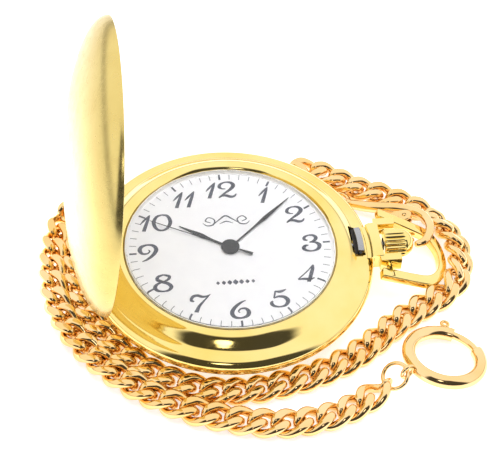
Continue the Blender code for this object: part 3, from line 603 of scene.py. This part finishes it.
def make_bow():
    outer = [(4.0, 6.8), (7.6, 6.25), (9.0, 5.6), (10.2, 4.2), (11.0, 2.3), (11.35, 0)]
    inner = [(4.0, 4.95), (6.8, 4.45), (8.2, 3.75), (9.2, 2.6), (9.75, 1.3), (9.9, 0)]

    def whole(half, leg):
        line = [(u, -v) for u, v in half] + [(u, v) for u, v in reversed(half[:-1])]
        line = [tuple(p) for p in smooth_line(line, 7)]
        return [(-1.2, -leg)] + line + [(-1.2, leg)]

    outline = whole(outer, 7.4) + whole(inner, 5.6)[::-1]
    place = (Matrix.Translation((BOW_PIN_X, 0, BOW_PIN_Z))
             @ Matrix.Rotation(math.radians(BOW_YAW_DEG), 4, "Z")
             @ Matrix.Rotation(math.radians(BOW_DROP_DEG), 4, "Y"))
    bow = raw(extruded(outline, -BOW_HALF_THICK, BOW_HALF_THICK), place)
    bevelled(bow, 0.3, 4, 40)
    holes = [raw(rod(BOW_PIN_BORE, low, high), along_y(BOW_PIN_X, BOW_PIN_Z))
             for low, high in ((-6.95, -4.8), (4.8, 6.95))]
    combined(bow, holes, "DIFFERENCE")
    piece(bow, "bow_arch", "gold", "bow_and_snap", ["bow"], sharp=28)


# ---- dial and hands ---------------------------------------------------------------
DIAL_Z = 7.0
DIGITS = {
    "0": [[(0.42, 0.98, 0.06), (0.16, 0.86, 0.10), (0.02, 0.5, 0.13), (0.14, 0.12, 0.10), (0.40, 0.0, 0.07),
           (0.66, 0.14, 0.10), (0.80, 0.5, 0.13), (0.68, 0.88, 0.10), (0.42, 0.98, 0.06)]],
    "1": [[(0.20, 1.0, 0.04), (0.17, 0.72, 0.10), (0.13, 0.35, 0.12), (0.10, 0.0, 0.13)],
          [(0.20, 1.0, 0.03), (0.10, 0.84, 0.07), (-0.03, 0.64, 0.08), (-0.14, 0.46, 0.03)]],
    "2": [[(0.34, 0.55, 0.03), (0.16, 0.58, 0.06), (0.05, 0.70, 0.12), (0.12, 0.88, 0.09), (0.34, 0.98, 0.06),
           (0.60, 0.94, 0.10), (0.72, 0.76, 0.14), (0.60, 0.54, 0.12), (0.34, 0.32, 0.08), (0.10, 0.12, 0.05),
           (0.0, 0.0, 0.04)],
          [(0.0, 0.0, 0.05), (0.14, 0.12, 0.09), (0.34, 0.12, 0.11), (0.56, 0.03, 0.11), (0.74, 0.06, 0.08),
           (0.84, 0.20, 0.04)]],
    "3": [[(0.26, 0.66, 0.04), (0.12, 0.72, 0.10), (0.12, 0.86, 0.10), (0.30, 0.97, 0.06), (0.54, 0.95, 0.09),
           (0.66, 0.80, 0.13), (0.56, 0.62, 0.10), (0.34, 0.54, 0.04)],
          [(0.34, 0.54, 0.04), (0.60, 0.52, 0.08), (0.79, 0.34, 0.14), (0.70, 0.10, 0.11), (0.44, 0.0, 0.06),
           (0.16, 0.05, 0.09), (0.04, 0.20, 0.13), (0.14, 0.34, 0.10), (0.28, 0.36, 0.04)]],
    "4": [[(0.58, 1.0, 0.05), (0.34, 0.62, 0.05), (-0.02, 0.18, 0.05)],
          [(-0.02, 0.18, 0.05), (0.28, 0.19, 0.09), (0.54, 0.14, 0.09), (0.74, 0.22, 0.04)],
          [(0.58, 1.0, 0.06), (0.58, 0.72, 0.12), (0.54, 0.3, 0.13), (0.50, 0.0, 0.13)]],
    "5": [[(0.20, 0.92, 0.05), (0.40, 0.88, 0.10), (0.56, 0.92, 0.09), (0.72, 1.0, 0.03)],
          [(0.21, 0.93, 0.05), (0.18, 0.74, 0.06), (0.13, 0.52, 0.05)],
          [(0.13, 0.52, 0.04), (0.34, 0.60, 0.08), (0.62, 0.54, 0.12), (0.76, 0.32, 0.14), (0.64, 0.08, 0.10),
           (0.38, 0.0, 0.06), (0.12, 0.06, 0.09), (0.0, 0.22, 0.12), (0.06, 0.36, 0.05)]],
    "6": [[(0.70, 1.0, 0.03), (0.46, 0.88, 0.08), (0.18, 0.62, 0.12), (0.04, 0.32, 0.14), (0.16, 0.07, 0.11),
           (0.44, 0.0, 0.07), (0.72, 0.10, 0.12), (0.80, 0.32, 0.14), (0.68, 0.52, 0.09), (0.46, 0.53, 0.06),
           (0.34, 0.40, 0.05), (0.40, 0.30, 0.03)]],
    "7": [[(0.16, 0.62, 0.04), (0.02, 0.72, 0.10), (0.06, 0.92, 0.12), (0.26, 0.97, 0.10), (0.50, 0.88, 0.09),
           (0.72, 0.90, 0.07), (0.84, 1.0, 0.03)],
          [(0.84, 1.0, 0.03), (0.62, 0.66, 0.07), (0.44, 0.34, 0.11), (0.36, 0.0, 0.15)]],
    "8": [[(0.42, 0.98, 0.06), (0.18, 0.88, 0.10), (0.14, 0.70, 0.12), (0.36, 0.56, 0.11), (0.62, 0.44, 0.12),
           (0.76, 0.24, 0.13), (0.64, 0.05, 0.09), (0.38, 0.0, 0.06), (0.12, 0.07, 0.10), (0.02, 0.26, 0.13),
           (0.14, 0.45, 0.09), (0.42, 0.57, 0.06), (0.64, 0.70, 0.09), (0.68, 0.87, 0.10),
           (0.42, 0.98, 0.06)]],
}
DIGITS["9"] = [[(0.8 - x, 1.0 - y, w) for x, y, w in stroke] for stroke in DIGITS["6"]]
DIGIT_HEIGHT = 3.5
DIGIT_SLANT = 0.06
EXTRA_SLANT = 0.2               # for the digits drawn with a straight stroke
DIGIT_WEIGHT = 1.42
DIGIT_GAP = 0.34
NARROW_DIGIT, WIDE_DIGIT = 0.22, 0.82
NUMERALS_RX, NUMERALS_RY = 13.3, 12.95
PRINT_Z0, PRINT_Z1 = DIAL_Z + 0.004, DIAL_Z + 0.016


def inked(strokes, place, scale, verts, faces, slant=0.0, weight=1.0):
    """Adds thin raised strokes; each point is (x, y, width), and weight makes them all bolder."""
    for stroke in strokes:
        line = smooth_line(stroke, 9)
        left, right = [], []
        for i, point in enumerate(line):
            ahead, behind = line[min(i + 1, len(line) - 1)], line[max(i - 1, 0)]
            along = Vector((ahead.x - behind.x, ahead.y - behind.y))
            normal = Vector((-along.y, along.x)).normalized() * max(point.z * weight, 0.02) / 2
            left.append((point.x + normal.x, point.y + normal.y))
            right.append((point.x - normal.x, point.y - normal.y))
        count = len(line)
        base = len(verts)
        for z in (PRINT_Z0, PRINT_Z1):
            for x, y in left + right:
                verts.append((place[0] + (x + slant * y) * scale, place[1] + y * scale, z))
        top = base + 2 * count
        for i in range(count - 1):
            faces += [[base + i, base + i + 1, base + count + i + 1, base + count + i],
                      [top + i, top + count + i, top + count + i + 1, top + i + 1],
                      [base + i, top + i, top + i + 1, base + i + 1],
                      [base + count + i, base + count + i + 1, top + count + i + 1, top + count + i]]
        for i in (0, count - 1):
            faces.append([base + i, base + count + i, top + count + i, top + i])


def make_dial():
    dial = raw(revolved([(0.85, 6.6), (17.9, 6.6), (17.9, 6.96), (17.86, DIAL_Z), (12, DIAL_Z), (6, DIAL_Z),
                         (0.88, DIAL_Z), (0.85, 6.97)], 192))
    piece(dial, "dial_plate", "enamel_white", "case", ["dial"], sharp=40)

    verts, faces = [], []
    for hour in range(1, 13):
        text = str(hour)
        turn = math.radians(30 * hour)
        centre = (NUMERALS_RX * math.sin(turn), NUMERALS_RY * math.cos(turn))
        widths = [NARROW_DIGIT if digit == "1" else WIDE_DIGIT for digit in text]
        total = sum(widths) + DIGIT_GAP * (len(text) - 1) * (1 if text != "11" else 1.1)
        cursor = -total / 2
        for digit, width in zip(text, widths):
            start = (centre[0] + (cursor - DIGIT_SLANT * 0.5) * DIGIT_HEIGHT, centre[1] - DIGIT_HEIGHT / 2)
            slant = DIGIT_SLANT + (EXTRA_SLANT if digit in "147" else 0.0)
            inked(DIGITS[digit], start, DIGIT_HEIGHT, verts, faces, slant, DIGIT_WEIGHT)
            cursor += width + DIGIT_GAP
    piece(raw((verts, faces)), "dial_numerals", "print_ink", "case", sharp=40)

    verts, faces = [], []
    for minute in range(60):
        turn = math.radians(6 * minute)
        bold = minute % 5 == 0
        far, near, wide = (16.42, 15.25, 0.34) if bold else (16.4, 15.3, 0.1)
        along = Vector((math.sin(turn), math.cos(turn)))
        inked([[(along.x * near, along.y * near, wide), (along.x * far, along.y * far, wide)]], (0, 0), 1.0,
              verts, faces)
    piece(raw((verts, faces)), "dial_minute_track", "print_ink", "case", sharp=40)

    flourish = [[(-3.9, -0.5, 0.06), (-3.2, -1.1, 0.14), (-2.2, -0.9, 0.17), (-1.9, 0.1, 0.14),
                 (-2.8, 0.7, 0.12), (-3.4, 0.0, 0.14), (-2.6, -0.5, 0.1)],
                [(-2.2, -0.9, 0.06), (-1.0, 0.2, 0.16), (0.0, 0.9, 0.2), (1.0, 0.2, 0.16), (2.2, -0.9, 0.06)],
                [(3.9, -0.5, 0.06), (3.2, -1.1, 0.14), (2.2, -0.9, 0.17), (1.9, 0.1, 0.14), (2.8, 0.7, 0.12),
                 (3.4, 0.0, 0.14), (2.6, -0.5, 0.1)],
                [(-1.1, -0.8, 0.06), (0.0, -0.35, 0.16), (1.1, -0.8, 0.06)]]
    verts, faces = [], []
    inked(flourish, (0, 6.2), 1.0, verts, faces, weight=1.5)
    for step in range(-3, 4):
        size = 1.1 - 0.13 * abs(step)
        inked([[(0, -size / 2, 0.05), (0, 0, size * 0.8), (0, size / 2, 0.05)]], (step * 0.95, -7.3), 1.0,
              verts, faces)
    piece(raw((verts, faces)), "dial_ornament", "print_ink", "case", sharp=40)


def make_hands():
    def blade(points):
        line = smooth_line(points)
        return [(p.y, p.x) for p in line], [(-p.y, p.x) for p in reversed(line)]

    hour = [(1.2, 0.24), (3.0, 0.2), (4.2, 0.28), (5.2, 0.42), (6.2, 0.38), (7.8, 0.2), (9.2, 0.08),
            (9.5, 0.03)]
    minute = [(0.9, 0.15), (4.0, 0.13), (6.6, 0.18), (8.6, 0.33), (10.4, 0.28), (12.8, 0.13), (14.6, 0.06),
              (14.9, 0.03)]
    second = [(0.6, 0.09), (7.0, 0.075), (13.7, 0.06), (13.9, 0.02)]
    tail = [(0.6, 0.12), (2.0, 0.16), (3.0, 0.23), (3.85, 0.26), (3.9, 0.2)]
    for name, node, body, points, back, hub, hole, low, high, angle in (
            ("hour_blade", "hour_hand", "hours", hour, None, 1.42, 0.74, 7.08, 7.17, 304.0),
            ("minute_blade", "minute_hand", "minutes", minute, None, 1.05, 0.43, 7.22, 7.3, 47.5),
            ("second_blade", "second_hand", "seconds", second, tail, 1.5, 0.18, 7.35, 7.41, 298.1)):
        turn = Matrix.Rotation(math.radians(-angle), 4, "Z")
        right, left = blade(points)
        hand = raw(extruded([(0, 0)] + right + left, low, high), turn)
        crest = 7.464 if back else high + 0.002
        parts = [raw(rod(hub, low - 0.002, crest, 64, 0.02), turn)]
        if back:
            right, left = blade(back)
            parts.append(raw(extruded([(0, 0)] + [(-x, -y) for x, y in right + left], low, high), turn))
        combined(hand, parts, "UNION")
        combined(hand, [raw(rod(hole, low - 1, 7.43 if back else high + 1, 32), turn)], "DIFFERENCE")
        piece(hand, name, "hand_black", body, [node], sharp=30)


# ---- spring ring and its jump rings ---------------------------------------------
RING_PLACE = facing((32.0, -21.6, 2.3), (0.142, 0.159, 1.0))
RING_R, RING_WIRE_R, RING_BORE_R = 5.87, 1.1, 0.74


def ring_line(start, end, count):
    return [(x, y, 0) for x, y in arc(RING_R, start, end, count)]


def make_spring_ring():
    body = raw(swept(ring_line(62, 374, 110), RING_WIRE_R, 32, upright=(0, 0, 1)), RING_PLACE)
    bevelled(body, 0.12, 3, 50)
    bore = raw(swept(ring_line(54, 186, 60), RING_BORE_R, 24, upright=(0, 0, 1)), RING_PLACE)
    socket = raw(swept(ring_line(4, 22, 10), RING_BORE_R, 24, upright=(0, 0, 1)), RING_PLACE)
    slot = raw(extruded(arc(6.07, 70, 122, 30) + arc(7.6, 122, 70, 30), -0.3, 0.3), RING_PLACE)
    combined(body, [bore, socket, slot], "DIFFERENCE")
    spin = (Matrix.Rotation(math.radians(207), 4, "Z") @ Matrix.Translation((7.85, 0, 0))
            @ Matrix.Rotation(math.radians(90), 4, "X"))
    combined(body, [raw(ring(1.1, 0.32), RING_PLACE @ spin)], "UNION")
    piece(body, "spring_ring_tube", "chain_gold", "case", ["spring_ring_body"], sharp=40)

    line, radii = domed_ends(ring_line(7, 132, 60), 0.62)
    bolt = raw(swept(line, radii, 24, upright=(0, 0, 1)), RING_PLACE)
    stand = RING_PLACE @ Matrix.Rotation(math.radians(76), 4, "Z")
    stalk = raw(rod(0.22, 0.3, 1.75, 20), stand @ Matrix.Translation((RING_R, 0, 0)) @ turned_to((1, 0, 0)))
    nub = raw(ring(0.57, 0.28, 40, 16), stand @ Matrix.Translation((RING_R + 2.3, 0, 0)))
    combined(bolt, [stalk, nub], "UNION")
    piece(bolt, "spring_bolt", "chain_gold", "bolt", ["spring_ring_bolt"], sharp=40)


def split_ring(radius, wire, opening):
    """A jump ring: wire bent round until its two cut ends nearly meet."""
    line = [(x, y, 0) for x, y in arc(radius, opening, opening + 358.4, 72)]
    return swept(line, wire, 18, upright=(0, 0, 1))


def make_jump_rings():
    for name, node, centre, normal, radius, wire, opening in (
            ("large_link", "jump_ring_large", (23.3, -25.05, 2.9), (-0.512, -0.26, 0.817), 2.1, 0.34, 70),
            ("small_link", "jump_ring_small", (21.75, -25.78, 1.6), (0.57, -0.82, 0), 1.15, 0.32, 200)):
        link = raw(split_ring(radius, wire, opening), facing(centre, normal))
        piece(link, name, "chain_gold", "case", [node], sharp=50)


# ---- swivel snap ------------------------------------------------------------------
SNAP_SLOPE = 0.214
SNAP_THIN = 0.82                # the hook's radii are the outline's, times this
PIVOT_X, PIVOT_Y = 30.9, 8.0


def snap_height(x):
    """Height of the snap's middle plane, which slopes up towards the bow's end."""
    return 3.7 - SNAP_SLOPE * (34.3 - x)


def make_snap():
    outline = [(22.9, 13.3, 1.0), (24.6, 12.4, 1.1), (26.5, 11.6, 1.2), (28.6, 10.8, 1.2), (30.6, 10.1, 1.1),
               (32.6, 9.1, 1.0), (34.1, 7.4, 0.95), (34.6, 5.2, 0.95), (34.1, 3.3, 0.9), (33.1, 2.0, 0.85),
               (31.95, 1.7, 0.75)]
    fine = smooth_line(outline, 8)
    line, radii = domed_ends([(p.x, p.y, snap_height(p.x)) for p in fine], [SNAP_THIN * p.z for p in fine])
    hook = raw(swept(line, radii, 24))
    pivot = facing((PIVOT_X, PIVOT_Y, snap_height(PIVOT_X)), (-SNAP_SLOPE, 0, 1))
    lean = Matrix.Rotation(math.radians(-14), 4, "Z")
    cheeks = [raw(rod(1.1, 0.42, 0.8, 48, 0.08), pivot), raw(rod(1.1, -0.8, -0.42, 48, 0.08), pivot)]
    post_at = Vector((22.9, 13.3, snap_height(22.9)))
    along = Vector((-0.882, 0.471, 0))
    post = facing(post_at, along)
    stem = [raw(rod(0.35, -0.4, 1.4, 24), post), raw(rod(0.48, 1.3, 1.55, 24, 0.06), post)]
    bar = [raw(extruded(rounded([(-4.6, -0.35), (-4.4, -0.95), (-0.4, -1.15), (1.15, -0.6), (1.25, 0.5),
                                 (0.3, 1.15), (-1.5, 0.75)], 0.5), low, high), pivot @ lean)
           for low, high in ((0.42, 0.78), (-0.78, -0.42))]
    combined(hook, cheeks + stem + bar, "UNION")
    combined(hook, [raw(rod(0.36, -2, 2, 24), pivot)], "DIFFERENCE")
    piece(hook, "snap_hook_tube", "chain_gold", "bow_and_snap", ["snap_hook"], sharp=35)

    rivet = raw(rod(0.3, -0.85, 0.85, 24, 0.1), pivot)
    piece(rivet, "snap_pivot_rivet", "chain_gold", "bow_and_snap", ["snap_rivet"], sharp=40)

    line = smooth_line([(PIVOT_X, PIVOT_Y, snap_height(PIVOT_X)), (29.9, 6.8, 2.74), (29.4, 5.8, 2.2),
                        (29.9, 4.3, 2.15), (31.4, 3.3, 2.5)], 8)
    line, radii = domed_ends(line, 0.38)
    gate = raw(swept(line, radii, 18))
    combined(gate, [raw(rod(0.6, -0.34, 0.34, 32, 0.05), pivot)], "UNION")
    combined(gate, [raw(rod(0.36, -1, 1, 24), pivot)], "DIFFERENCE")
    piece(gate, "snap_gate_lever", "chain_gold", "gate", ["snap_gate"], sharp=40)

    eye = raw(ring(1.6, 0.4, 56, 18), facing(post_at + along * 2.35, (0, 0, 1)))
    combined(eye, [raw(rod(0.78, 0.3, 1.12, 32, 0.08), post)], "UNION")
    combined(eye, [raw(rod(0.45, -0.5, 1.3, 24), post)], "DIFFERENCE")
    piece(eye, "swivel_eye", "chain_gold", "swivel", ["snap_swivel"], sharp=40)

    place = facing(post_at + along * 4.05 + Vector((0, 0, 0.1)), along.cross((0, 0, 1)))
    link = raw(split_ring(0.95, 0.28, 250), place)
    piece(link, "swivel_link", "chain_gold", "swivel", ["jump_ring_swivel"], sharp=50)


# ---- catch ------------------------------------------------------------------------
def make_catch():
    tongue = raw(block((21.0, -2.3, 4.6), (21.6, 2.3, 6.4)))
    nose = raw(extruded(arc(21.58, -5.6, 7.2, 14) + arc(20.95, 7.2, -5.6, 14), 6.3, 6.98))
    beak = raw(extruded(rounded(arc(21.98, -6.2, 7.4, 14) + arc(20.95, 7.4, -6.2, 14), 0.3, 4), 6.94, 7.2))
    bevelled(beak, 0.12, 4, 50)
    leaf = raw(extruded(arc(21.55, 5, 62, 40) + arc(21.3, 62, 5, 40), 4.65, 5.3))
    combined(tongue, [nose, beak, leaf], "UNION")
    combined(tongue, [raw(rod(0.55, 20, 23), along_x(STEM_Z))], "DIFFERENCE")
    piece(tongue, "catch_tongue", "steel", "catch", ["catch_spring"], sharp=30)
    # A near-black sheet inside the catch slot, below its opening: painted shade that makes the slot read as a
    # dark hole
    slot_shade_sheet = raw(block((20.42, -2.5, 6.22), (21.1, 3.3, 6.34)))
    piece(slot_shade_sheet, "catch_slot_painted_shade", "slot_shade_black", "catch", sharp=30)


# ---- finishes for the CAD parts that stay ------------------------------------------
KEPT = {
    "gold": ["bow_pin_front", "bow_pin_rear"],
    "steel": ["lid_hinge_pin", "lid_lift_spring", "stem", "push_sleeve", "detent_collar", "sliding_pinion",
              "rotor", "train_bridge", "battery", "battery_clamp", "stator", "quartz_can",
              "bridge_screw_north", "bridge_screw_east", "bridge_screw_south", "spring_ring_spring"],
    "brass": ["pendant_tube", "second_wheel", "intermediate_wheel", "third_wheel", "centre_wheel",
              "minute_wheel", "hour_wheel", "main_plate"],
    "copper": ["coil"],
    "rubber": ["crown_gasket", "back_gasket"],
    "nylon": ["movement_ring", "crystal_gasket"],
    "board_green": ["circuit_board"],
}


def finish_kept():
    for look, names in KEPT.items():
        for name in names:
            NODES[name].data.materials.clear()
            NODES[name].data.materials.append(LOOKS[look])


# ---- stage --------------------------------------------------------------------------
class Sky:
    """World shader helpers: brightness of the room by direction."""

    def __init__(self, tree):
        self.tree = tree
        self.place = tree.nodes.new("ShaderNodeTexCoord").outputs["Generated"]
        split = tree.nodes.new("ShaderNodeSeparateXYZ")
        tree.links.new(self.place, split.inputs["Vector"])
        self.z = split.outputs["Z"]

    def math(self, operation, *values):
        node = self.tree.nodes.new("ShaderNodeMath")
        node.operation = operation
        for socket, value in zip(node.inputs, values):
            if isinstance(value, (int, float)):
                socket.default_value = value
            else:
                self.tree.links.new(value, socket)
        return node.outputs[0]

    def step(self, value, low, high, at_low=0.0, at_high=1.0):
        """at_low below low, at_high above high, smooth between."""
        node = self.tree.nodes.new("ShaderNodeMapRange")
        node.interpolation_type = "SMOOTHSTEP"
        for name, number in (("From Min", low), ("From Max", high), ("To Min", at_low), ("To Max", at_high)):
            node.inputs[name].default_value = number
        self.tree.links.new(value, node.inputs["Value"])
        return node.outputs["Result"]

    def towards(self, direction, flat=False):
        """Cosine of the angle to a direction, or of the compass angle to it."""
        vector = self.place
        if flat:
            level = self.tree.nodes.new("ShaderNodeVectorMath")
            level.operation = "MULTIPLY"
            level.inputs[1].default_value = (1, 1, 0)
            self.tree.links.new(vector, level.inputs[0])
            unit = self.tree.nodes.new("ShaderNodeVectorMath")
            unit.operation = "NORMALIZE"
            self.tree.links.new(level.outputs["Vector"], unit.inputs[0])
            vector = unit.outputs["Vector"]
        dot = self.tree.nodes.new("ShaderNodeVectorMath")
        dot.operation = "DOT_PRODUCT"
        dot.inputs[1].default_value = Vector(direction).normalized()
        self.tree.links.new(vector, dot.inputs[0])
        return dot.outputs["Value"]


def cosine(degrees):
    return math.cos(math.radians(degrees))


def make_world(scene):
    """A white tent with a dark opening at the front, a lamp in it, and a dimmer band at the horizon."""
    world = bpy.data.worlds.new("studio")
    scene.world = world
    world.use_nodes = True
    sky = Sky(world.node_tree)
    across = sky.step(sky.towards((0.02, -1, 0), flat=True), cosine(60), cosine(47))
    below = sky.step(sky.z, 0.90, 0.96, 1.0, 0.0)
    opening = sky.math("MULTIPLY", across, below)
    tent = sky.step(sky.z, -0.02, 0.2, 0.5, 1.12)
    room = sky.math("MULTIPLY", tent, sky.math("SUBTRACT", 1.0, sky.math("MULTIPLY", opening, 0.94)))
    lamp = sky.step(sky.towards((-0.119, -0.656, 0.745)), cosine(6.5), cosine(4), 0.0, 3.5)
    background = world.node_tree.nodes["Background"]
    world.node_tree.links.new(sky.math("ADD", room, lamp), background.inputs["Color"])
    background.inputs["Strength"].default_value = 1.0


FLOOR_HALF = 350
FLOOR_Z = -0.0001               # metres
OVERHEAD_AT, OVERHEAD_SIZE, OVERHEAD_POWER = (0.1, 0.1, 0.7), 0.6, 4.6


def make_stage():
    corners = [(-FLOOR_HALF, -FLOOR_HALF, 0), (FLOOR_HALF, -FLOOR_HALF, 0), (FLOOR_HALF, FLOOR_HALF, 0),
               (-FLOOR_HALF, FLOOR_HALF, 0)]
    floor = raw((corners, [[0, 1, 2, 3]]), None, "floor")
    floor.location.z = FLOOR_Z
    material, tree, shader = nodes_for("pale_floor_with_painted_glow")
    shader.inputs["Base Color"].default_value = (0.7, 0.7, 0.7, 1)
    shader.inputs["Roughness"].default_value = 0.7
    # Painted light on the floor: its emission is a pool of light, 0.62 within 45 mm of the centre and fading
    # to 0.12 beyond 130 mm. A painted bright spot centred at (-44, 20) mm is full within 8 mm and fades out
    # by 34 mm.
    place = tree.nodes.new("ShaderNodeTexCoord")
    reach = tree.nodes.new("ShaderNodeVectorMath")
    reach.operation = "LENGTH"
    tree.links.new(place.outputs["Object"], reach.inputs[0])
    near = ramp(tree, reach.outputs["Value"], 0.62, 0.12, 0.045, 0.13)
    painted_spot_distance = tree.nodes.new("ShaderNodeVectorMath")
    painted_spot_distance.operation = "DISTANCE"
    painted_spot_distance.inputs[1].default_value = (-0.044, 0.02, 0)
    tree.links.new(place.outputs["Object"], painted_spot_distance.inputs[0])
    # Sum of the painted pool of light and the painted bright spot, used as the floor's glow
    painted_floor_glow = tree.nodes.new("ShaderNodeVectorMath")
    painted_floor_glow.operation = "ADD"
    tree.links.new(near, painted_floor_glow.inputs[0])
    tree.links.new(ramp(tree, painted_spot_distance.outputs["Value"], 1.0, 0.0, 0.008, 0.034), painted_floor_glow.inputs[1])
    tree.links.new(painted_floor_glow.outputs["Vector"], shader.inputs["Emission Color"])
    shader.inputs["Emission Strength"].default_value = 1.0
    floor.data.materials.append(material)

    scene = bpy.context.scene
    scene.view_settings.view_transform = "Standard"
    make_world(scene)
    data = bpy.data.lights.new("overhead", "AREA")
    data.size = OVERHEAD_SIZE
    data.energy = OVERHEAD_POWER
    light = bpy.data.objects.new("overhead", data)
    scene.collection.objects.link(light)
    light.visible_glossy = False
    light.location = OVERHEAD_AT
    light.rotation_mode = "QUATERNION"
    light.rotation_quaternion = Vector(OVERHEAD_AT).to_track_quat("Z", "Y")


make_camera()
make_chain()
make_case()
make_back()
make_crystal()
make_pendant()
make_lid()
make_crown()
make_bow()
make_dial()
make_hands()
make_spring_ring()
make_jump_rings()
make_snap()
make_catch()
finish_kept()
make_stage()
